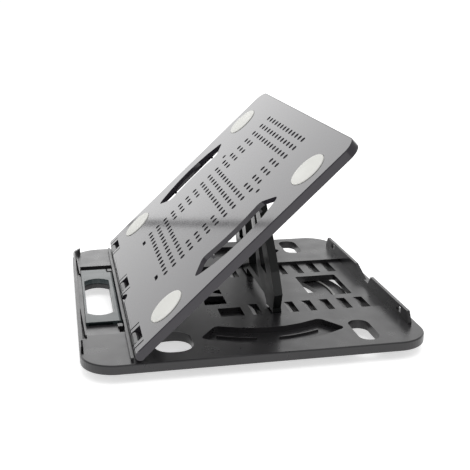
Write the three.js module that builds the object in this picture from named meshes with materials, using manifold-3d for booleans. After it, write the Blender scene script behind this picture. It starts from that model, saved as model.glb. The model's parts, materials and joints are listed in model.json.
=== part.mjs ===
// Folding laptop stand: a base that turns on a round foot, a tilting vented top plate held up
// by a strut whose feet stand in a rack, and a flip-up front flap.
// Millimetres, +Z up, +X to the rear, origin on the table under the middle of the base.
import * as THREE from 'three';
import { mergeVertices } from 'three/addons/utils/BufferGeometryUtils.js';
import Module from 'manifold-3d';

const wasm = await Module();
wasm.setup();

// ---------------------------------------------------------------- driving dimensions
const DEPTH = 268; // base, front to rear
const WIDTH = 280; // base, side to side
const BASE_TOP = 14.5; // top face of the base above the table
const BASE_THICK = 7.5;
const CORNER_R = 26; // plan corners of the base
const WALL = 2.6; // moulded wall of the base
const GAP = 0.3; // clearance between pieces that touch
const TILT = 43.2; // top plate above the horizontal, degrees

const BASE_UNDER = BASE_TOP - BASE_THICK;
const FRONT = -DEPTH / 2; // x of the front edge
const REAR = DEPTH / 2;
const HALF_WIDTH = WIDTH / 2;

// hinge between the base and the top plate
const HINGE_X = FRONT + 42.3;
const HINGE_Z = BASE_TOP + 5.8;
const HINGE_PIN_R = 1.6;
const HINGE_STATIONS = { near: -113, middle: 0, far: 113 };
const LUG_HALF = 9.3; // half width of a base lug
const NOTCH_HALF = 11; // half width of the plate's notch round a lug
const FINGER_OUT = 16; // outer side of the plate's snap fingers, from the station
const SLIT = 1.8; // slit that lets a finger flex

// top plate, in its own frame: u from the hinge axis to the rear, n through the thickness
const PLATE_R = 3.7; // half thickness, and radius of the lower edge
const PLATE_LENGTH = 216.2;
const PLATE_HALF = 139.5;
const PLATE_CORNER_R = 12;
const PANEL = 2.4; // thickness of the top panel
const PANEL_UNDER = PLATE_R - PANEL;

// vents in the top plate
const VENT_R = 2.55;
const VENT_PITCH_U = 9.53;
const VENT_PITCH_V = 9.33;
const VENT_FIRST_U = 43.5;
const VENT_COLUMNS = 17;
const VENT_ROWS = 13;
const VENT_BAND = 3; // rows or columns in each band of the field
const VENT_SIDES = 9;

// silicone pads on the top plate
const PAD_R = 15.3;
const PAD_U = [34.2, 178.9];
const PAD_V = 112.7;
const PAD_PROUD = 0.8;
const PAD_SEAT = 1.0;

// strut under the top plate
const PIVOT_U = 142.5;
const PIVOT_N = -5.7;
const STRUT_HALF_THICK = 3.5;
const STRUT_FOOT_X = FRONT + 163; // strut's middle where it meets the base's top level
const STRUT_PIN_R = 1.8;
const BARREL_R = 4;
const BARREL_HALF = 53;

// rack in the base
const RACK_FIRST = FRONT + 143.8;
const RACK_PITCH = 15.75;
const RACK_SLOTS = 7;
const RACK_SLOT = 7.9; // length of one slot, front to rear
const RACK_IN = 35; // inner and outer ends of the slots from the middle
const RACK_OUT = 64.2;
const CHANNEL_DEEP = 2.2; // recess between and over the two rows
const RACK_DEEP = 5.3;
const RAMP_END = { x: 3.6, deep: 3.5 }; // foot of a slot's shallow ramp
const NOTCH_START = 6; // where the deep notch's floor starts

// turning foot
const HUB_X = FRONT + 150.5;
const DISC_R = 92;
const DISC_UNDER = 1.5;
const DISC_TOP = 5.5;
const BOSS_R = 8;
const BOSS_LOW = 3.4; // lower end of the base's boss, inside the disc
const SCREW_R = 1.5;
const SCREW_TOP = 10;
const CAP_R = 14;
const CAP_LOW = 1.6;
const CAP_HIGH = BOSS_LOW - GAP;
const GLIDE_IN = 78.5;
const GLIDE_OUT = 80.5;
const FOOT_R = 8;
const FOOT_AT = 76;

// front flap and its axis
const FLAP_X = FRONT + 33.2;
const FLAP_Z = BASE_TOP - 0.6;
const FLAP_R = 2.3;
const FLAP_FRONT = FRONT + 6.8;
const FLAP_NEAR = -59.5;
const FLAP_FAR = 70;
const FLAP_PIN_R = 1;

const ARC_STEPS = 7; // segments in a quarter turn of a corner
const ROUND = 16; // sides of a small round piece
const FULL = 2 * Math.PI;
const PAST = 5; // how far a cutter runs past the face it cuts

// ---------------------------------------------------------------- solids
function solid(geometry) {
  const bare = geometry.index ? geometry.toNonIndexed() : geometry.clone();
  bare.deleteAttribute('normal');
  bare.deleteAttribute('uv');
  const merged = mergeVertices(bare, 1e-4);
  return new wasm.Manifold(new wasm.Mesh({
    numProp: 3,
    vertProperties: new Float32Array(merged.attributes.position.array),
    triVerts: new Uint32Array(merged.index.array),
  }));
}

function moved(geometry, x = 0, y = 0, z = 0) {
  return geometry.translate(x, y, z);
}

function box(x0, x1, y0, y1, z0, z1) {
  const geometry = new THREE.BoxGeometry(x1 - x0, y1 - y0, z1 - z0);
  return solid(moved(geometry, (x0 + x1) / 2, (y0 + y1) / 2, (z0 + z1) / 2));
}

// upright prism over an outline in x and y
function prism(shape, z0, z1, curveSegments = ARC_STEPS) {
  const options = { depth: z1 - z0, bevelEnabled: false, curveSegments };
  return solid(moved(new THREE.ExtrudeGeometry(shape, options), 0, 0, z0));
}

// prism along y over an outline in x and z
function sidePrism(points, y0, y1) {
  const shape = new THREE.Shape(points.map(([x, z]) => new THREE.Vector2(x, z)));
  const geometry = new THREE.ExtrudeGeometry(shape, { depth: y1 - y0, bevelEnabled: false });
  geometry.rotateX(Math.PI / 2);
  return solid(moved(geometry, 0, y1, 0));
}

// prism along x over an outline in y and z
function acrossPrism(points, x0, x1) {
  const shape = new THREE.Shape(points.map(([y, z]) => new THREE.Vector2(y, z)));
  const geometry = new THREE.ExtrudeGeometry(shape, { depth: x1 - x0, bevelEnabled: false });
  geometry.rotateX(Math.PI / 2);
  geometry.rotateZ(Math.PI / 2);
  return solid(moved(geometry, x0, 0, 0));
}

function disc(x, y, r, z0, z1, sides = ROUND) {
  const geometry = new THREE.CylinderGeometry(r, r, z1 - z0, sides);
  geometry.rotateX(Math.PI / 2);
  return solid(moved(geometry, x, y, (z0 + z1) / 2));
}

// round bar along y
function bar(x, z, r, y0, y1, sides = ROUND) {
  const geometry = new THREE.CylinderGeometry(r, r, y1 - y0, sides);
  return solid(moved(geometry, x, (y0 + y1) / 2, z));
}

function join(first, ...rest) {
  return rest.flat().reduce((sum, piece) => sum.add(piece), first);
}

function cut(first, ...rest) {
  return rest.flat().reduce((left, piece) => left.subtract(piece), first);
}

// upright plate with rounded upper and lower outer edges; the outline is its widest section
function softPlate(shape, z0, z1, edge) {
  const options = {
    depth: z1 - z0 - 2 * edge,
    bevelEnabled: true,
    bevelThickness: edge,
    bevelSize: edge,
    bevelOffset: -edge,
    bevelSegments: 2,
    curveSegments: ARC_STEPS,
  };
  return solid(moved(new THREE.ExtrudeGeometry(shape, options), 0, 0, z0 + edge));
}

function both(make) {
  return [-1, 1].map(make);
}

function roundedRect(x0, x1, y0, y1, r) {
  const shape = new THREE.Shape();
  shape.moveTo(x0 + r, y0);
  shape.lineTo(x1 - r, y0);
  shape.absarc(x1 - r, y0 + r, r, -Math.PI / 2, 0, false);
  shape.lineTo(x1, y1 - r);
  shape.absarc(x1 - r, y1 - r, r, 0, Math.PI / 2, false);
  shape.lineTo(x0 + r, y1);
  shape.absarc(x0 + r, y1 - r, r, Math.PI / 2, Math.PI, false);
  shape.lineTo(x0, y0 + r);
  shape.absarc(x0 + r, y0 + r, r, Math.PI, 1.5 * Math.PI, false);
  return shape;
}

// curved slot: long edges bowed outwards, ends slanted, corners rounded; side is -1 or 1 in y
const SLOT_CORNER = 5;
const BOW_STEPS = 6;
function bowedSlot(middle, inner, outer, side, grow = 0) {
  const at = (x, y) => new THREE.Vector2(middle + x, side * y);
  const innerEnd = inner.end - grow;
  const outerEnd = outer.end + grow;
  const corners = [
    at(-inner.half - grow, innerEnd),
    at(inner.half + grow, innerEnd),
    at(outer.half + grow, outerEnd),
    at(-outer.half - grow, outerEnd),
  ];
  const innerBow = new THREE.QuadraticBezierCurve(corners[0], at(0, 2 * inner.bow - inner.end - grow),
    corners[1]);
  const outerBow = new THREE.QuadraticBezierCurve(corners[2], at(0, 2 * outer.bow - outer.end + grow),
    corners[3]);
  const trimmed = (curve) => {
    const trim = SLOT_CORNER / curve.getLength();
    const points = [];
    for (let k = 0; k <= BOW_STEPS; k += 1) {
      points.push(curve.getPoint(trim + ((1 - 2 * trim) * k) / BOW_STEPS));
    }
    return points;
  };
  const along = (from, to) => from.clone().lerp(to, SLOT_CORNER / from.distanceTo(to));
  const innerPoints = trimmed(innerBow);
  const outerPoints = trimmed(outerBow);
  const shape = new THREE.Shape();
  const lineThrough = (points) => points.forEach((p) => shape.lineTo(p.x, p.y));
  const round = (corner, to) => shape.quadraticCurveTo(corner.x, corner.y, to.x, to.y);
  shape.moveTo(innerPoints[0].x, innerPoints[0].y);
  lineThrough(innerPoints.slice(1));
  round(corners[1], along(corners[1], corners[2]));
  lineThrough([along(corners[2], corners[1])]);
  round(corners[2], outerPoints[0]);
  lineThrough(outerPoints.slice(1));
  round(corners[3], along(corners[3], corners[0]));
  lineThrough([along(corners[0], corners[3])]);
  round(corners[0], innerPoints[0]);
  return shape;
}

// ---------------------------------------------------------------- base shell
const GROOVE = {
  middle: FRONT + 150,
  inner: { half: 42.8, end: 81, bow: 92.2 },
  outer: { half: 58.4, end: 103.3, bow: 122.9 },
  deep: 4.6,
};
const REAR_HOLE = { x: FRONT + 221, y: 110.5, halfX: 8.5, halfY: 20, r: 8.2 };
const FRONT_HOLE = { x: FRONT + 70, y: 106, halfX: 15, halfY: 18.5, r: 13 };
const WINDOW = { x0: FRONT + 202.8, x1: FRONT + 241, half: 25.7, r: 2 };
const SHELF = { x0: FRONT + 6.4, x1: FRONT + 35.8, y0: FLAP_NEAR - 0.4, y1: 86, deep: 3.4 };
const LIGHT = { x0: FRONT + 8.6, x1: FRONT + 30.6, half: 45, bow: 6 }; // window in flap and base
const LIP = { x0: FRONT + 259.4, x1: FRONT + 262, half: 108.5, high: 10 };
const RIDGE = { x0: FRONT + 35.8, x1: FRONT + 38, half: 134, high: 2.5 };
const RIM = { x0: FRONT + 0.9, x1: FRONT + 2.8, y0: -113, y1: 131, high: 5, wrap: 8 };
const NUB_Y = 86.7;

// window with straight sides and bowed ends, in the flap and in the floor under it
function lightShape(grow = 0) {
  const shape = new THREE.Shape();
  const x0 = LIGHT.x0 - grow;
  const x1 = LIGHT.x1 + grow;
  const end = LIGHT.half - LIGHT.bow + grow;
  const bow = LIGHT.half + LIGHT.bow + grow;
  const middle = (x0 + x1) / 2;
  shape.moveTo(x0, -end);
  shape.quadraticCurveTo(middle, -bow, x1, -end);
  shape.lineTo(x1, end);
  shape.quadraticCurveTo(middle, bow, x0, end);
  shape.closePath();
  return shape;
}

function holeShape(hole, side, grow = 0) {
  const x = hole.halfX + grow;
  const y = hole.halfY + grow;
  const middle = side * hole.y;
  return roundedRect(hole.x - x, hole.x + x, middle - y, middle + y, hole.r + grow);
}

function rackSlots() {
  const slots = [];
  for (let i = 0; i < RACK_SLOTS; i += 1) {
    const x = RACK_FIRST + i * RACK_PITCH;
    const outline = [
      [x, BASE_TOP + PAST],
      [x, BASE_TOP - CHANNEL_DEEP],
      [x + RAMP_END.x, BASE_TOP - RAMP_END.deep],
      [x + NOTCH_START, BASE_TOP - RACK_DEEP],
      [x + RACK_SLOT, BASE_TOP - RACK_DEEP],
      [x + RACK_SLOT, BASE_TOP + PAST],
    ];
    slots.push(sidePrism(outline, -RACK_OUT, -RACK_IN), sidePrism(outline, RACK_IN, RACK_OUT));
  }
  return slots;
}

// hollows moulded into the underside, leaving ribs, and clear of every feature
function basePockets() {
  const rib = 2.2;
  const cell = 44;
  const over = BASE_TOP - WALL;
  const low = BASE_UNDER - PAST;
  const inset = WALL;
  const corner = CORNER_R - inset;
  const field = prism(roundedRect(FRONT + inset, REAR - inset, -HALF_WIDTH + inset,
    HALF_WIDTH - inset, corner), low, over);
  const ribs = [];
  for (let x = FRONT + cell; x < REAR - rib; x += cell) {
    ribs.push(box(x, x + rib, -HALF_WIDTH, HALF_WIDTH, low, over));
  }
  for (let y = -2.5 * cell; y < HALF_WIDTH - rib; y += cell) {
    ribs.push(box(FRONT, REAR, y - rib / 2, y + rib / 2, low, over));
  }
  const deep = BASE_TOP - CHANNEL_DEEP - WALL;
  const channel = box(FRONT + 104, REAR, -RACK_OUT - rib, RACK_OUT + rib, deep, over + PAST);
  const rack = both((side) => box(RACK_FIRST - rib - 26, WINDOW.x1 + 23, side > 0 ? RACK_IN - rib
    : -RACK_OUT - rib, side > 0 ? RACK_OUT + rib : -RACK_IN + rib, low, over + PAST));
  const guards = [
    channel,
    ...rack,
    prism(lightShape(rib), low, over + PAST),
    box(SHELF.x0 - rib, SHELF.x1 + rib, SHELF.y0 - 24, SHELF.y1 + rib, low, over + PAST),
    box(FRONT, SHELF.x0, RIM.y0, RIM.y1 + PAST, low, over + PAST),
    box(WINDOW.x0 - rib, WINDOW.x1 + rib, -WINDOW.half - rib, WINDOW.half + rib, low, over + PAST),
    box(FRONT + 105, FRONT + 130, -33, 33, low, over + PAST),
    disc(HUB_X, 0, BOSS_R + PAST, low, over + PAST, 2 * ROUND),
    cut(disc(HUB_X, 0, GLIDE_OUT + rib, low, over + PAST, 3 * ROUND),
      disc(HUB_X, 0, GLIDE_IN - rib, low - 1, over + PAST + 1, 3 * ROUND)),
    ...both((side) => prism(bowedSlot(GROOVE.middle, GROOVE.inner, GROOVE.outer, side, rib), low,
      over + PAST)),
    ...both((side) => prism(holeShape(REAR_HOLE, side, rib), low, over + PAST)),
    ...both((side) => prism(holeShape(FRONT_HOLE, side, rib), low, over + PAST)),
  ];
  return cut(field, ribs, guards);
}

// raised wall along the rear edge, with a thumb notch and two catches for the plate's nubs
function rearLip() {
  const top = BASE_TOP + LIP.high;
  const slope = 5;
  const end = LIP.half;
  const notch = { farTop: 19, farFoot: -5, nearFoot: -15, nearTop: -21 };
  const outline = [
    [-end, BASE_TOP - 1],
    [end, BASE_TOP - 1],
    [end, BASE_TOP + 2],
    [end - slope, top],
    [notch.farTop, top],
    [notch.farFoot, BASE_TOP + 2],
    [notch.nearFoot, BASE_TOP + 2],
    [notch.nearTop, top],
    [-end + slope, top],
    [-end, BASE_TOP + 2],
  ];
  const wall = acrossPrism(outline, LIP.x0, LIP.x1);
  const catches = both((side) => box(LIP.x0 - 1, LIP.x1 + 1, side * NUB_Y - 4.5, side * NUB_Y + 4.5,
    HINGE_Z - 2.2, HINGE_Z + 2.2));
  return cut(wall, catches);
}

// barrel on a short pedestal, standing in the top plate's notch
function hingeLug(y) {
  const lug = join(
    bar(HINGE_X, HINGE_Z, PLATE_R - 0.1, y - LUG_HALF, y + LUG_HALF),
    box(HINGE_X - 3.3, HINGE_X + 3.3, y - LUG_HALF, y + LUG_HALF, BASE_TOP - 1, HINGE_Z - 1),
  );
  return lug;
}

// springy latch arm beside the front rim: a wedge-shaped slot with a slanted rib along it
const ARM_LENGTH = 60;
const ARM_GAP = 2.6; // widest part of the slot, at the arm's tip
const ARM_THICK = 1;
const ARM_ROOTS = [122, -24];
function armSlot(root) {
  const tip = root - ARM_LENGTH;
  const shape = new THREE.Shape([
    [RIM.x1, root],
    [RIM.x1, tip],
    [RIM.x1 + ARM_GAP, tip],
    [RIM.x1 + 0.4, root],
  ].map(([x, y]) => new THREE.Vector2(x, y)));
  return prism(shape, BASE_TOP - 5.5, BASE_TOP + PAST);
}

function armRib(root) {
  const tip = root - ARM_LENGTH;
  const shape = new THREE.Shape([
    [RIM.x1 + 0.4, root],
    [RIM.x1 + ARM_GAP, tip],
    [RIM.x1 + ARM_GAP + ARM_THICK, tip],
    [RIM.x1 + 0.4 + ARM_THICK, root],
  ].map(([x, y]) => new THREE.Vector2(x, y)));
  return prism(shape, BASE_TOP - 5.5, BASE_TOP + 1.6);
}

// thin ribs standing in the floor of a curved groove
function grooveRibs(side) {
  const ribs = [];
  for (const [from, to] of [[-44, -14], [4, 38]]) {
    const shape = new THREE.Shape();
    const bow = (x) => side * (104.5 - (x * x) / 170);
    const steps = 4;
    const at = (k) => from + ((to - from) * k) / steps;
    for (let k = 0; k <= steps; k += 1) {
      const x = at(k);
      if (k === 0) shape.moveTo(GROOVE.middle + x, bow(x) - 0.6);
      else shape.lineTo(GROOVE.middle + x, bow(x) - 0.6);
    }
    for (let k = steps; k >= 0; k -= 1) {
      const x = at(k);
      shape.lineTo(GROOVE.middle + x, bow(x) + 0.6);
    }
    ribs.push(prism(shape, BASE_TOP - GROOVE.deep - 1, BASE_TOP - GROOVE.deep + 1.6));
  }
  return ribs;
}

// thin wall along the front edge, following the rounded corner at its far end
function frontRim() {
  const wall = (inset, z0, z1) => prism(roundedRect(FRONT + inset, REAR - inset,
    -HALF_WIDTH + inset, HALF_WIDTH - inset, CORNER_R - inset), z0, z1);
  const band = cut(wall(RIM.x0 - FRONT, BASE_TOP - 1, BASE_TOP + RIM.high),
    wall(RIM.x1 - FRONT, BASE_TOP - 2, BASE_TOP + RIM.high + 1));
  return band.intersect(box(FRONT - 1, FRONT + RIM.wrap, RIM.y0, HALF_WIDTH, BASE_TOP - 3,
    BASE_TOP + RIM.high + 3));
}

function baseShell() {
  const slab = softPlate(roundedRect(FRONT, REAR, -HALF_WIDTH, HALF_WIDTH, CORNER_R), BASE_UNDER,
    BASE_TOP, 0.9);
  const over = BASE_TOP + PAST;
  const under = BASE_UNDER - PAST;
  const stations = Object.values(HINGE_STATIONS);
  const body = join(
    cut(slab, basePockets()),
    rearLip(),
    box(RIDGE.x0, RIDGE.x1, -RIDGE.half, RIDGE.half, BASE_TOP - 1, BASE_TOP + RIDGE.high),
    frontRim(),
    stations.map(hingeLug),
    disc(HUB_X, 0, BOSS_R, BOSS_LOW, BASE_UNDER + 1, 2 * ROUND),
  );
  const cuts = [
    // channel between and over the rack rows
    box(FRONT + 107, LIP.x0, -RACK_OUT, RACK_OUT, BASE_TOP - CHANNEL_DEEP, over),
    ...rackSlots(),
    // deep pockets ahead of the rack rows, and openings round the hub
    ...both((side) => box(FRONT + 116.7, FRONT + 136.5, side > 0 ? 39.7 : -RACK_OUT,
      side > 0 ? RACK_OUT : -39.7, BASE_TOP - 6, over)),
    ...both((side) => prism(new THREE.Shape([[109.5, 9.3], [127, 11], [127, 30], [107.5, 30]]
      .map(([x, y]) => new THREE.Vector2(FRONT + x, side * y))), under, over)),
    prism(new THREE.Shape([[117, 0], [127, -6], [127, 6]]
      .map(([x, y]) => new THREE.Vector2(FRONT + x, y))), under, over),
    prism(roundedRect(WINDOW.x0, WINDOW.x1, -WINDOW.half, WINDOW.half, WINDOW.r), under, over, 3),
    disc(HUB_X, 0, SCREW_R + GAP, under, SCREW_TOP + GAP),
    ...both((side) => prism(bowedSlot(GROOVE.middle, GROOVE.inner, GROOVE.outer, side),
      BASE_TOP - GROOVE.deep, over)),
    ...both((side) => prism(holeShape(REAR_HOLE, side), under, over)),
    ...both((side) => prism(holeShape(FRONT_HOLE, side), under, over)),
    // bed of the flap, its window, the finger ramp ahead of it and the hinge pocket
    box(SHELF.x0, SHELF.x1, SHELF.y0, SHELF.y1, BASE_TOP - SHELF.deep, over),
    prism(lightShape(), under, over, 6),
    fingerRamp(),
    box(FLAP_X - 1.2, SHELF.x1 + 0.3, -79, FLAP_NEAR, BASE_TOP - 5, over),
    ...ARM_ROOTS.map(armSlot),
    box(RIM.x1, RIM.x1 + 3.8, ARM_ROOTS[1] - ARM_LENGTH - 3, ARM_ROOTS[1] - ARM_LENGTH,
      BASE_TOP - 5, over),
    box(RIM.x0 + 0.6, RIM.x1 + 0.2, RIM.y0 - 3, RIM.y0 + 12, BASE_TOP - 4, over),
    // bores for the hinge pins
    ...stations.map((y) => bar(HINGE_X, HINGE_Z, HINGE_PIN_R + GAP, y - LUG_HALF - 1,
      y + LUG_HALF + 1)),
  ];
  const shell = join(cut(body, cuts), ARM_ROOTS.map(armRib), both(grooveRibs).flat());
  // bearing blocks for the flap's two pins
  const bearings = [[-70, -64], [66, 72]].map(([y0, y1]) => join(
    box(FLAP_X - 1.9, FLAP_X + 1.9, y0, y1, BASE_TOP - 5.6, BASE_TOP + 1.1),
  ));
  const bores = [[-71, -63], [65, 73]].map(([y0, y1]) => bar(FLAP_X, FLAP_Z, FLAP_PIN_R + GAP,
    y0, y1));
  return cut(join(shell, bearings), bores);
}

// shallow finger ramp in the shelf, falling towards the near end of the flap
function fingerRamp() {
  const start = -81.7;
  const outline = [
    [start, BASE_TOP],
    [FLAP_NEAR, BASE_TOP - 1.2],
    [FLAP_NEAR, BASE_TOP + PAST],
    [start, BASE_TOP + PAST],
  ];
  return acrossPrism(outline, SHELF.x0, SHELF.x1);
}

// ---------------------------------------------------------------- top plate, lying flat
const ARCH = {
  middle: 107.1,
  inner: { half: 30.4, end: 91, bow: 94.8 },
  outer: { half: 43.7, end: 109.8, bow: 121.6 },
};

function isVent(column, row) {
  const upright = Math.min(row, VENT_ROWS - 1 - row) < VENT_BAND;
  const middle = (VENT_COLUMNS - 1) / 2;
  const fromEnd = Math.min(column, VENT_COLUMNS - 1 - column);
  return upright || fromEnd < VENT_BAND || Math.abs(column - middle) < VENT_BAND / 2;
}

function vents() {
  const holes = [];
  for (let column = 0; column < VENT_COLUMNS; column += 1) {
    for (let row = 0; row < VENT_ROWS; row += 1) {
      if (isVent(column, row)) {
        const u = VENT_FIRST_U + column * VENT_PITCH_U;
        const v = (row - (VENT_ROWS - 1) / 2) * VENT_PITCH_V;
        holes.push(disc(u, v, VENT_R, PANEL_UNDER - 1, PLATE_R + 1, VENT_SIDES));
      }
    }
  }
  return wasm.Manifold.union(holes);
}

function plateOutline(inset) {
  const r = PLATE_CORNER_R - inset;
  const u1 = PLATE_LENGTH - inset;
  const v1 = PLATE_HALF - inset;
  const shape = new THREE.Shape();
  shape.moveTo(0, -v1);
  shape.lineTo(u1 - r, -v1);
  shape.absarc(u1 - r, -v1 + r, r, -Math.PI / 2, 0, false);
  shape.lineTo(u1, v1 - r);
  shape.absarc(u1 - r, v1 - r, r, 0, Math.PI / 2, false);
  shape.lineTo(0, v1);
  shape.closePath();
  return shape;
}

function platePockets() {
  const rib = 2.2;
  const cell = 50;
  const low = -PLATE_R - PAST;
  const field = prism(plateOutline(PANEL), low, PANEL_UNDER);
  const bay = { u0: 34, u1: 202, half: 79 }; // open bay over the vents, takes the folded strut
  const ribs = [];
  for (let u = bay.u0 - rib; u < PLATE_LENGTH; u += cell) {
    ribs.push(box(u, u + rib, -PLATE_HALF, PLATE_HALF, low - 1, PANEL_UNDER + 1));
  }
  for (let v = -2.5 * cell; v <= 2.5 * cell; v += cell) {
    ribs.push(box(-PAST, PLATE_LENGTH, v - rib / 2, v + rib / 2, low - 1, PANEL_UNDER + 1));
  }
  const bayBox = box(bay.u0, bay.u1, -bay.half, bay.half, low, PANEL_UNDER);
  const kept = wasm.Manifold.union(ribs).subtract(bayBox);
  const guards = [
    box(-PAST, 11, -PLATE_HALF, PLATE_HALF, low - 1, PANEL_UNDER + 1),
    ...both((side) => prism(bowedSlot(ARCH.middle, ARCH.inner, ARCH.outer, side, rib), low - 1,
      PANEL_UNDER + 1)),
  ];
  return cut(field, kept, guards);
}

// hanging lug beside each end of the strut's barrel
function pivotLug(side) {
  const y0 = side > 0 ? BARREL_HALF + 1 : -BARREL_HALF - 9;
  const y1 = y0 + 8;
  return join(
    bar(PIVOT_U, PIVOT_N, BARREL_R, y0, y1),
    box(PIVOT_U - BARREL_R, PIVOT_U + BARREL_R, y0, y1, PIVOT_N, PANEL_UNDER + 0.5),
  );
}

const COLLAR = 2.2; // wall left round a curved cut-out, and its depth
const COLLAR_DEEP = 4;
function topPlate() {
  const stations = Object.values(HINGE_STATIONS);
  const low = -PLATE_R - PAST;
  const over = PLATE_R + PAST;
  const slab = join(
    softPlate(plateOutline(0), -PLATE_R, PLATE_R, 0.7),
    bar(0, 0, PLATE_R, -PLATE_HALF, PLATE_HALF, 2 * ROUND),
    both((side) => bar(PLATE_LENGTH - 0.7, 0, 1.5, side * NUB_Y - 3, side * NUB_Y + 3, 12)),
  );
  const body = join(cut(slab, platePockets()), both(pivotLug));
  const notch = (y) => box(-PAST, 8, y - NOTCH_HALF, y + NOTCH_HALF, low, over);
  const slits = (y) => both((side) => {
    const y0 = side > 0 ? y + FINGER_OUT : y - FINGER_OUT - SLIT;
    return box(-PAST, 8.2, y0, y0 + SLIT, low, over);
  });
  const cuts = [
    vents(),
    ...stations.map(notch),
    ...stations.flatMap(slits),
    ...stations.map((y) => bar(0, 0, HINGE_PIN_R + GAP, y - FINGER_OUT - SLIT / 2,
      y + FINGER_OUT + SLIT / 2)),
    ...both((side) => prism(bowedSlot(ARCH.middle, ARCH.inner, ARCH.outer, side), low, over)),
    // the collar round each curved cut-out is shallower than the plate's skirt
    ...both((side) => prism(bowedSlot(ARCH.middle, ARCH.inner, ARCH.outer, side, COLLAR + 0.1),
      low, PLATE_R - COLLAR_DEEP)),
    ...PAD_U.flatMap((u) => both((side) => disc(u, side * PAD_V, PAD_R + GAP, PLATE_R - PAD_SEAT,
      over, 2 * ROUND))),
    // two slots ahead of the vents, two eyes over the strut's lugs, and a finger notch
    ...both((side) => box(32.6, 36, side * 48 - 4.2, side * 48 + 4.2, low, over)),
    ...both((side) => disc(142.2, side * 68.8, 2.2, low, over, 12)),
    disc(-3.4, -27, 7, 1.4, over),
    ...both((side) => bar(PIVOT_U, PIVOT_N, STRUT_PIN_R + GAP, side * 58 - 6, side * 58 + 6)),
  ];
  return cut(body, cuts);
}

// ---------------------------------------------------------------- strut
const toRad = THREE.MathUtils.degToRad;
const tilt = toRad(TILT);
const PIVOT = new THREE.Vector3(
  HINGE_X + PIVOT_U * Math.cos(tilt) - PIVOT_N * Math.sin(tilt),
  0,
  HINGE_Z + PIVOT_U * Math.sin(tilt) + PIVOT_N * Math.cos(tilt),
);
const STRUT_LEAN = Math.atan2(STRUT_FOOT_X - PIVOT.x, PIVOT.z - BASE_TOP);
const STRUT_TO_TOP = Math.hypot(STRUT_FOOT_X - PIVOT.x, PIVOT.z - BASE_TOP);
const FOOT_BELOW = 4.7; // how far a foot reaches below the base's top level

function strut() {
  const length = STRUT_TO_TOP + FOOT_BELOW + 2;
  const half = [
    [0, 0], [50, 0], [51, -2], [55, -14], [64, -33.7], [72.3, -60.6], [74.7, -80.4],
    [62.7, -96], [62.7, -length], [38.5, -length], [38.5, -97], [34, -92.5], [0, -92.5],
  ];
  const mirror = half.slice(1, -1).reverse().map(([v, t]) => [-v, t]);
  const middle = [[-14, -13], [14, -13], [19.5, -84.5], [-19.5, -84.5]];
  const slanted = [[30, -13], [36, -13], [54, -68], [34, -68]];
  const frame = cut(
    acrossPrism([...half, ...mirror], -STRUT_HALF_THICK, STRUT_HALF_THICK),
    acrossPrism(middle, -PAST, PAST),
    both((side) => acrossPrism(slanted.map(([v, t]) => [side * v, t]), -PAST, PAST)),
  );
  const barrel = bar(0, 0, BARREL_R, -BARREL_HALF, BARREL_HALF);
  const bores = both((side) => bar(0, 0, STRUT_PIN_R + GAP, side * 49 - 6, side * 49 + 6));

  // the feet are cut to a tip that fills the rear of a rack slot
  const slot = RACK_FIRST + RACK_PITCH;
  const wall = slot + RACK_SLOT;
  const tip = BASE_TOP - FOOT_BELOW;
  const far = 90;
  const toLocal = (pieces) => pieces.map((piece) => piece
    .translate([-PIVOT.x, 0, -PIVOT.z])
    .rotate([0, (STRUT_LEAN * 180) / Math.PI, 0]));
  const trims = toLocal([
    box(wall - 0.45, wall + 20, -far, far, BASE_TOP - 20, BASE_TOP - 0.4),
    box(wall - 30, wall + 30, -far, far, BASE_TOP - 30, tip),
    sidePrism([[slot + 0.6, BASE_TOP - 0.4], [slot + 3.9, BASE_TOP - 2.3],
      [slot + NOTCH_START - 0.1, tip - 0.01], [slot + NOTCH_START - 0.1, tip - PAST],
      [slot - 20, tip - PAST], [slot - 20, BASE_TOP - 0.4]], -far, far),
  ]);
  return cut(join(frame, barrel), bores, trims);
}

// ---------------------------------------------------------------- front flap
function frontFlap() {
  const top = FLAP_Z + FLAP_R;
  const low = FLAP_Z - FLAP_R;
  const rear = FLAP_X;
  const body = join(
    box(FLAP_FRONT, rear, FLAP_NEAR, FLAP_FAR, low, top),
    bar(FLAP_X, FLAP_Z, FLAP_R, FLAP_NEAR, FLAP_FAR),
  );
  return cut(
    body,
    prism(lightShape(), BASE_UNDER, BASE_TOP + PAST, 6),
    // notch that clears the far bearing, finger hollow under the near end, and the pin bores
    box(FLAP_X - 3.4, FLAP_X + 5, 61, FLAP_FAR + 1, low - 1, top + 1),
    box(FLAP_FRONT + 2, FLAP_X - 5, FLAP_NEAR - 1, FLAP_NEAR + 4, low - 1, top - 1.1),
    bar(FLAP_X, FLAP_Z, FLAP_PIN_R + GAP, FLAP_NEAR - 1, FLAP_NEAR + 9),
    bar(FLAP_X, FLAP_Z, FLAP_PIN_R + GAP, 51, 62),
  );
}

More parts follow.
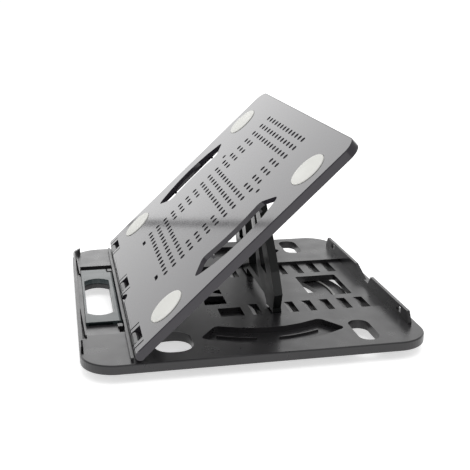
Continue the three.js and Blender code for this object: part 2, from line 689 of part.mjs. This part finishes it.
// ---------------------------------------------------------------- turning foot
function turntable() {
  const slotIn = 47;
  const slotOut = 66.5;
  const slots = 6;
  const halfAngle = toRad(24);
  const plate = disc(HUB_X, 0, DISC_R, DISC_UNDER, DISC_TOP, 3 * ROUND);
  const openings = [];
  for (let i = 0; i < slots; i += 1) {
    const middle = (FULL * i) / slots + halfAngle;
    const shape = new THREE.Shape();
    shape.absarc(HUB_X, 0, slotOut, middle - halfAngle, middle + halfAngle, false);
    shape.absarc(HUB_X, 0, slotIn, middle + halfAngle, middle - halfAngle, true);
    shape.closePath();
    openings.push(prism(shape, DISC_UNDER - 1, DISC_TOP + 1, 6));
  }
  return cut(
    plate,
    openings,
    feetPlaces().map(([x, y]) => disc(x, y, FOOT_R + GAP, DISC_UNDER - 1, DISC_UNDER + 0.6)),
    disc(HUB_X, 0, BOSS_R + GAP, DISC_UNDER - 1, DISC_TOP + 1, 2 * ROUND),
    disc(HUB_X, 0, CAP_R + GAP, DISC_UNDER - 1, CAP_HIGH + GAP, 2 * ROUND),
  );
}

function feetPlaces() {
  const places = [];
  for (let i = 0; i < 4; i += 1) {
    const angle = FULL * (i / 4 + 1 / 8);
    places.push([HUB_X + FOOT_AT * Math.cos(angle), FOOT_AT * Math.sin(angle)]);
  }
  return places;
}

function ring(inner, outer, z0, z1) {
  return cut(
    disc(HUB_X, 0, outer, z0, z1, 3 * ROUND),
    disc(HUB_X, 0, inner, z0 - 1, z1 + 1, 3 * ROUND),
  );
}

// cap under the base's boss that holds the disc on, and its screw
function swivelCap() {
  return cut(
    disc(HUB_X, 0, CAP_R, CAP_LOW, CAP_HIGH, 2 * ROUND),
    disc(HUB_X, 0, SCREW_R + GAP, CAP_LOW - 1, CAP_HIGH + 1),
  );
}

function swivelScrew() {
  const headTop = CAP_LOW - GAP;
  const headLow = headTop - 0.9;
  const head = disc(HUB_X, 0, 3.4, headLow, headTop);
  const shank = disc(HUB_X, 0, SCREW_R, headTop - 0.1, SCREW_TOP);
  const cross = [
    box(HUB_X - 1.8, HUB_X + 1.8, -0.35, 0.35, headLow - 1, headLow + 0.5),
    box(HUB_X - 0.35, HUB_X + 0.35, -1.8, 1.8, headLow - 1, headLow + 0.5),
  ];
  return cut(join(head, shank), cross);
}

// ---------------------------------------------------------------- finishes
function finish(color, roughness, metalness = 0) {
  return () => new THREE.MeshStandardMaterial({ color, roughness, metalness });
}

const blackPlastic = finish(0x2b2b2d, 0.42);
const flapPlastic = finish(0x2c3030, 0.38);
const strutPlastic = finish(0x151517, 0.28);
const silicone = finish(0xe9e9e6, 0.6);
const rubber = finish(0x1b1b1c, 0.85);
const steel = finish(0xb4b6b8, 0.35, 1);
const acetal = finish(0xc9c7c0, 0.45);

const stand = new THREE.Group();

function add(group, name, manifold, material) {
  const { numProp, vertProperties, triVerts } = manifold.getMesh();
  if (numProp !== 3) throw new Error(`${name} carries extra vertex data`);
  const geometry = new THREE.BufferGeometry();
  geometry.setAttribute('position', new THREE.BufferAttribute(new Float32Array(vertProperties), 3));
  geometry.setIndex(new THREE.BufferAttribute(new Uint32Array(triVerts), 1));
  geometry.computeVertexNormals();
  const mesh = new THREE.Mesh(geometry, material());
  mesh.name = name;
  group.add(mesh);
}

// turning foot
add(stand, 'turntable', turntable(), blackPlastic);
add(stand, 'glide_ring', ring(GLIDE_IN, GLIDE_OUT, DISC_TOP + GAP, BASE_UNDER - GAP), acetal);
add(stand, 'swivel_cap', swivelCap(), blackPlastic);
add(stand, 'swivel_screw', swivelScrew(), steel);
feetPlaces().forEach(([x, y], i) => {
  add(stand, `rubber_foot_${i + 1}`, disc(x, y, FOOT_R, 0, DISC_UNDER + GAP), rubber);
});

// base
add(stand, 'base_shell', baseShell(), blackPlastic);
for (const [place, y] of Object.entries(HINGE_STATIONS)) {
  const reach = FINGER_OUT - 0.5;
  add(stand, `hinge_pin_${place}`, bar(HINGE_X, HINGE_Z, HINGE_PIN_R, y - reach, y + reach), steel);
}
add(stand, 'front_flap', frontFlap(), flapPlastic);
add(stand, 'flap_pin_near', bar(FLAP_X, FLAP_Z, FLAP_PIN_R, -70, FLAP_NEAR + 8), blackPlastic);
add(stand, 'flap_pin_far', bar(FLAP_X, FLAP_Z, FLAP_PIN_R, 52, 72), blackPlastic);

// top plate with everything that rides on it, turned up about the hinge
const plateGroup = new THREE.Group();
plateGroup.position.set(HINGE_X, 0, HINGE_Z);
plateGroup.rotation.y = -tilt;
stand.add(plateGroup);
add(plateGroup, 'top_plate', topPlate(), blackPlastic);
const padLow = PLATE_R - PAD_SEAT + GAP;
PAD_U.forEach((u, i) => {
  for (const [side, place] of [[-1, 'near'], [1, 'far']]) {
    const name = `pad_${i === 0 ? 'front' : 'rear'}_${place}`;
    add(plateGroup, name, disc(u, side * PAD_V, PAD_R, padLow, PLATE_R + PAD_PROUD, 2 * ROUND),
      silicone);
  }
});
for (const [side, place] of [[-1, 'near'], [1, 'far']]) {
  const inner = BARREL_HALF - 9;
  const outer = BARREL_HALF + 10;
  add(plateGroup, `strut_pin_${place}`, bar(PIVOT_U, PIVOT_N, STRUT_PIN_R,
    side > 0 ? inner : -outer, side > 0 ? outer : -inner), steel);
}

// strut, hung from its pivot with its feet in the rack
const strutGroup = new THREE.Group();
strutGroup.position.copy(PIVOT);
strutGroup.rotation.y = -STRUT_LEAN;
stand.add(strutGroup);
add(strutGroup, 'strut', strut(), strutPlastic);

export default stand;
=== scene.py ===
import bpy, json, math
from mathutils import Matrix, Vector


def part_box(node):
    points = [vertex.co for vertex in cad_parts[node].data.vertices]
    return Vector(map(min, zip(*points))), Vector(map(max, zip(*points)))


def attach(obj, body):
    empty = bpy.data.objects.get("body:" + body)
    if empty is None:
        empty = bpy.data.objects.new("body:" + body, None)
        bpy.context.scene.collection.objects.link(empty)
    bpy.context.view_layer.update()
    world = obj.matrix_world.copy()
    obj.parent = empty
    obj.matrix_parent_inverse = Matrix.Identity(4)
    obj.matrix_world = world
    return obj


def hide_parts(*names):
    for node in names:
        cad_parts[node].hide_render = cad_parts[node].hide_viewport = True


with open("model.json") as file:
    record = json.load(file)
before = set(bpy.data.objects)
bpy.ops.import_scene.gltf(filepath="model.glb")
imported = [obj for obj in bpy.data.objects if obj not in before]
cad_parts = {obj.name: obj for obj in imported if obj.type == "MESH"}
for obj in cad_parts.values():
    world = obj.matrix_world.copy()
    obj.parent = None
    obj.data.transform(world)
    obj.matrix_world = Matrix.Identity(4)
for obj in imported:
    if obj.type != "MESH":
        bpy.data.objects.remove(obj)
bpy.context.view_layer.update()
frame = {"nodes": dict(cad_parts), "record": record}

MM = 0.001
scene = bpy.context.scene
scene.view_settings.view_transform = "Standard"

# Camera: angles in degrees, place in metres, lens in millimetres.
AZIMUTH, ELEVATION, ROLL = -11.79, 16.6, 0.31
CAMERA_AT = (-0.13915, -0.6948, 0.2759)
LENS = 64.75
SENSOR = 36
CLIP_START = 0.01

# Every surface: noise scales count waves per metre, details count finer layers of noise.
MOTTLE_SCALE, MOTTLE_DETAIL = 22, 4
GLOSS_SCALE, GLOSS_DETAIL = 60, 6
GLOSS_SPREAD = 0.14
GRAIN_DETAIL = 3
NOISE_MIDDLE = (0.3, 0.7)
GRAIN_HEIGHT = 0.1 * MM
COAT_ROUGHNESS = 0.2

# Pads and rubber feet, in millimetres; the plate's tilt is in degrees. Heights on a pad are
# from the middle of its CAD solid.
PLATE_TILT = 43.2
PAD_R = 15.3
PAD_UNDER, PAD_TOP = -0.75, 0.65
PAD_EDGE = 0.5
PAD_CROWN = 0.1
FOOT_R = 8.0
FOOT_TOP = 1.8
FOOT_CHAMFER = 0.4
GROOVES = (6.5, 4.0)
GROOVE_WIDTH = 1.4
GROOVE_SLOPE = 0.3
GROOVE_DEEP = 0.35

# Fineness of turned pieces, and the angle in degrees from which an edge stays sharp.
LATHE_STEPS = 96
RIM_STEPS = 5
CROWN_STEPS = 4
SHARP_ANGLE = 50

# Studio, in metres.
FLOOR_SIZE = 70
FLOOR_GAP = 0.2 * MM
FLOOR_COLOR = (0.93, 0.93, 0.93, 1)
FLOOR_ROUGHNESS = 0.9
FLOOR_GLOW = 0.6
WORLD_STRENGTH = 0.5
WHITE = (1, 1, 1, 1)


# ---------------------------------------------------------------- camera
def add_camera():
    azimuth, elevation, roll = map(math.radians, (AZIMUTH, ELEVATION, ROLL))
    level = math.cos(elevation)
    back = Vector((math.sin(azimuth) * level, -math.cos(azimuth) * level, math.sin(elevation)))
    right = Vector((math.cos(azimuth), math.sin(azimuth), 0))
    up = back.cross(right)
    rolled_right = math.cos(roll) * right + math.sin(roll) * up
    rolled_up = -math.sin(roll) * right + math.cos(roll) * up
    turn = Matrix((rolled_right, rolled_up, back)).transposed().to_4x4()
    camera = bpy.data.objects.new("camera", bpy.data.cameras.new("camera"))
    camera.data.sensor_width = SENSOR
    camera.data.lens = LENS
    camera.data.clip_start = CLIP_START
    camera.matrix_world = Matrix.Translation(CAMERA_AT) @ turn
    scene.collection.objects.link(camera)
    scene.camera = camera


add_camera()


# ---------------------------------------------------------------- materials
def surface(name, color, rough, grain=900.0, bump=0.12, mottle=0.06, metal=0.0, coat=0.0,
            specular=0.5):
    """Moulded or machined surface: fine grain and slow mottling of colour and gloss."""
    material = bpy.data.materials.new(name)
    material.use_nodes = True
    tree = material.node_tree
    shader = tree.nodes["Principled BSDF"]
    shader.inputs["Metallic"].default_value = metal
    shader.inputs["Coat Weight"].default_value = coat
    shader.inputs["Specular IOR Level"].default_value = specular
    shader.inputs["Coat Roughness"].default_value = COAT_ROUGHNESS
    where = tree.nodes.new("ShaderNodeTexCoord").outputs["Object"]

    def noise(scale, detail):
        texture = tree.nodes.new("ShaderNodeTexNoise")
        texture.inputs["Scale"].default_value = scale
        texture.inputs["Detail"].default_value = detail
        tree.links.new(where, texture.inputs["Vector"])
        return texture.outputs["Fac"]

    def between(source, low, high):
        """Colour from low to high over the middle of the noise's range."""
        ramp = tree.nodes.new("ShaderNodeValToRGB")
        first, last = ramp.color_ramp.elements
        first.position, last.position = NOISE_MIDDLE
        first.color, last.color = (*low, 1), (*high, 1)
        tree.links.new(source, ramp.inputs["Fac"])
        return ramp.outputs["Color"]

    darker, lighter = ([c * (1 + way * mottle) for c in color] for way in (-1, 1))
    mottled = between(noise(MOTTLE_SCALE, MOTTLE_DETAIL), darker, lighter)
    tree.links.new(mottled, shader.inputs["Base Color"])
    glossier, duller = rough * (1 - GLOSS_SPREAD), min(1, rough * (1 + GLOSS_SPREAD))
    gloss = between(noise(GLOSS_SCALE, GLOSS_DETAIL), [glossier] * 3, [duller] * 3)
    tree.links.new(gloss, shader.inputs["Roughness"])
    relief = tree.nodes.new("ShaderNodeBump")
    relief.inputs["Strength"].default_value = bump
    relief.inputs["Distance"].default_value = GRAIN_HEIGHT
    tree.links.new(noise(grain, GRAIN_DETAIL), relief.inputs["Height"])
    tree.links.new(relief.outputs["Normal"], shader.inputs["Normal"])
    return material


MATERIALS = {
    "black_plastic": surface("satin_black_abs", (0.026, 0.025, 0.027), 0.30, mottle=0.04),
    "flap_plastic": surface("flap_abs", (0.035, 0.050, 0.052), 0.30, mottle=0.03),
    "strut_plastic": surface("gloss_black_abs", (0.008, 0.009, 0.009), 0.32, coat=0.1,
                             specular=0.25),
    "silicone": surface("white_silicone", (0.82, 0.82, 0.78), 0.6, grain=500, bump=0.2,
                        mottle=0.02),
    "rubber": surface("matt_rubber", (0.03, 0.03, 0.03), 0.85, bump=0.35),
    "steel": surface("ground_steel", (0.6, 0.61, 0.62), 0.28, grain=1800, metal=1.0),
    "acetal": surface("acetal", (0.30, 0.30, 0.29), 0.42, mottle=0.03),
}
# The top plate shares black_plastic's slot, but is polished.
POLISHED = {
    "top_plate": surface("polished_black_abs", (0.030, 0.027, 0.034), 0.06, grain=1500,
                         bump=0.015, mottle=0.03),
}

for part in frame["record"]["subparts"]:
    mesh = frame["nodes"][part["node"]].data
    mesh.materials.clear()
    mesh.materials.append(POLISHED.get(part["node"], MATERIALS[part["material_slot"]]))


# ---------------------------------------------------------------- turned pieces
def lathe(name, profile, matrix, body, slot, replaced):
    """A turned piece: profile is (radius, height) in millimetres, from the axis back to the axis."""
    verts, faces, rings = [], [], []
    for radius, height in profile:
        if radius == 0:
            rings.append([len(verts)] * LATHE_STEPS)
            verts.append((0, 0, height * MM))
            continue
        rings.append(list(range(len(verts), len(verts) + LATHE_STEPS)))
        for step in range(LATHE_STEPS):
            angle = 2 * math.pi * step / LATHE_STEPS
            verts.append((radius * MM * math.cos(angle), radius * MM * math.sin(angle),
                          height * MM))
    for low, high in zip(rings, rings[1:]):
        for step in range(LATHE_STEPS):
            after = (step + 1) % LATHE_STEPS
            # at the axis two corners are one point, which dict.fromkeys drops
            corners = dict.fromkeys((low[step], low[after], high[after], high[step]))
            faces.append(tuple(corners))
    mesh = bpy.data.meshes.new(name)
    mesh.from_pydata(verts, [], faces)
    mesh.transform(matrix)
    mesh.shade_smooth()
    mesh.set_sharp_from_angle(angle=math.radians(SHARP_ANGLE))
    mesh.materials.append(MATERIALS[slot])
    piece = bpy.data.objects.new(name, mesh)
    scene.collection.objects.link(piece)
    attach(piece, body)
    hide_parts(replaced)


def crowned_disc(radius, low, high, edge, crown):
    """Disc profile with rounded upper rim and a slightly crowned face."""
    angles = (math.pi / 2 * step / RIM_STEPS for step in range(RIM_STEPS + 1))
    rim = [(radius - edge + edge * math.cos(a), high - edge + edge * math.sin(a)) for a in angles]
    shares = [1 - step / CROWN_STEPS for step in range(1, CROWN_STEPS)]
    face = [((radius - edge) * share, high + crown * (1 - share ** 2)) for share in shares]
    return [(0, low), (radius, low)] + rim + face + [(0, high + crown)]


def ribbed_disc():
    """Foot profile, from its hidden top down to a face with ring grooves."""
    profile = [(0, FOOT_TOP), (FOOT_R, FOOT_TOP), (FOOT_R, FOOT_CHAMFER),
               (FOOT_R - FOOT_CHAMFER, 0)]
    for outer in GROOVES:
        inner = outer - GROOVE_WIDTH
        profile += [(outer, 0), (outer - GROOVE_SLOPE, GROOVE_DEEP),
                    (inner + GROOVE_SLOPE, GROOVE_DEEP), (inner, 0)]
    return profile + [(0, 0)]


def crowned_pad(node):
    low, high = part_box(node)
    lie = Matrix.Rotation(-math.radians(PLATE_TILT), 4, "Y")
    profile = crowned_disc(PAD_R, PAD_UNDER, PAD_TOP, PAD_EDGE, PAD_CROWN)
    lathe(node + "_crowned", profile, Matrix.Translation((low + high) / 2) @ lie, "plate",
          "silicone", node)


def ribbed_foot(node):
    low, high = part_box(node)
    at = Matrix.Translation(((low.x + high.x) / 2, (low.y + high.y) / 2, 0))
    lathe(node + "_ribbed", ribbed_disc(), at, "foot", "rubber", node)


for pad in ("pad_front_near", "pad_front_far", "pad_rear_near", "pad_rear_far"):
    crowned_pad(pad)
for foot in sorted(node for node in frame["nodes"] if node.startswith("rubber_foot_")):
    ribbed_foot(foot)


# ---------------------------------------------------------------- studio
def add_floor():
    bpy.ops.mesh.primitive_plane_add(size=FLOOR_SIZE, location=(0, 0, -FLOOR_GAP))
    floor = bpy.context.object
    floor.name = "floor"
    pale = bpy.data.materials.new("pale_floor")
    pale.use_nodes = True
    shader = pale.node_tree.nodes["Principled BSDF"]
    shader.inputs["Base Color"].default_value = FLOOR_COLOR
    shader.inputs["Roughness"].default_value = FLOOR_ROUGHNESS
    shader.inputs["Emission Color"].default_value = WHITE
    shader.inputs["Emission Strength"].default_value = FLOOR_GLOW
    floor.data.materials.append(pale)


def add_world():
    world = bpy.data.worlds.new("studio")
    scene.world = world
    world.use_nodes = True
    background = world.node_tree.nodes["Background"]
    background.inputs["Color"].default_value = WHITE
    background.inputs["Strength"].default_value = WORLD_STRENGTH


def softbox(name, at, size, watts, aim=None):
    """A rectangular light; without an aim it faces straight to the front."""
    light = bpy.data.objects.new(name, bpy.data.lights.new(name, "AREA"))
    light.data.shape = "RECTANGLE"
    light.data.size, light.data.size_y = size
    light.data.energy = watts
    light.location = at
    towards = Vector(aim or (at[0], 0, at[2])) - Vector(at)
    light.rotation_euler = towards.to_track_quat("-Z", "Y").to_euler()
    scene.collection.objects.link(light)


add_floor()
add_world()
# the narrow gap between the first two shows as a dark line across the glossy plate
softbox("back_left", at=(-1.31, 2.25, 0.85), size=(1.28, 1.7), watts=9.2)
softbox("back_middle", at=(-0.1975, 2.25, 0.85), size=(0.895, 1.7), watts=8.2)
softbox("back_right", at=(1.6, 2.25, 1.0), size=(2.0, 1.6), watts=10)
softbox("top", at=(0.1, -0.3, 1.8), size=(1.6, 1.6), watts=10, aim=(0, 0, 0))
